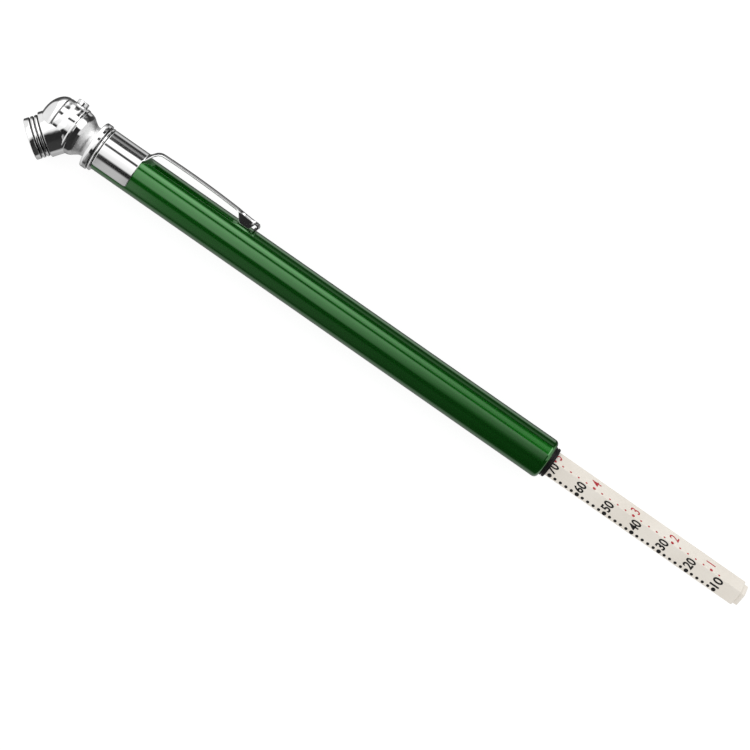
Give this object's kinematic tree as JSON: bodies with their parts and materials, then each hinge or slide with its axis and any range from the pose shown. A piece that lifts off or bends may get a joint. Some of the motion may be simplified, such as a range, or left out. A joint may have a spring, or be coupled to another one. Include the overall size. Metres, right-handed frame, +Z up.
{
  "type": "tire pressure gauge",
  "caption": "Pencil tire pressure gauge: green tube with pocket clip, angled chrome ball chuck with deflator nib, and a square sliding indicator bar with a printed scale.",
  "frame": {"origin": "under the middle of the gauge's box, on the surface that it lies on, with the indicator bar fully out", "axes": "+X along the barrel from the chuck head to the tip of the indicator bar, +Y towards the deflator nib, +Z up, away from the surface"},
  "size_m": [0.1888, 0.017, 0.0111],
  "materials": {
    "chrome_plate": "bright chrome on a zinc die casting",
    "seal_rubber": "matte",
    "depressor_brass": "machined",
    "ring_rubber": "matte",
    "green_anodised": "glossy green anodised",
    "clip_chrome": "bright plated spring steel",
    "black_nylon": "satin moulded",
    "seat_steel": "stamped",
    "spring_steel": "drawn wire",
    "ivory_nylon": "smooth moulded, printed scale",
    "piston_brass": "turned",
    "cup_rubber": "matte, greased",
    "washer_brass": "stamped",
    "screw_brass": "turned"
  },
  "bodies": {
    "barrel": {"chuck_head": "chrome_plate", "mouth_seal": "seal_rubber", "core_depressor": "depressor_brass", "head_seal_ring": "ring_rubber", "barrel_tube": "green_anodised", "pocket_clip": "clip_chrome", "end_bushing": "black_nylon", "spring_seat_washer": "seat_steel", "calibration_spring": "spring_steel"},
    "indicator": {"indicator_bar": "ivory_nylon"},
    "piston": {"piston_body": "piston_brass", "piston_cup": "cup_rubber", "cup_washer": "washer_brass", "piston_screw": "screw_brass"}
  },
  "joints": [
    {"name": "indicator_slide", "type": "slide", "parent": "barrel", "child": "indicator", "axis": [1, 0, 0], "range_m": [-0.0494, 0]},
    {"name": "piston_slide", "type": "slide", "parent": "barrel", "child": "piston", "axis": [1, 0, 0], "range_m": [-0.0494, 0], "deforming": ["calibration_spring"]}
  ],
  "couplings": [
    {"joint": "piston_slide", "follows": "indicator_slide", "ratio": 1}
  ]
}
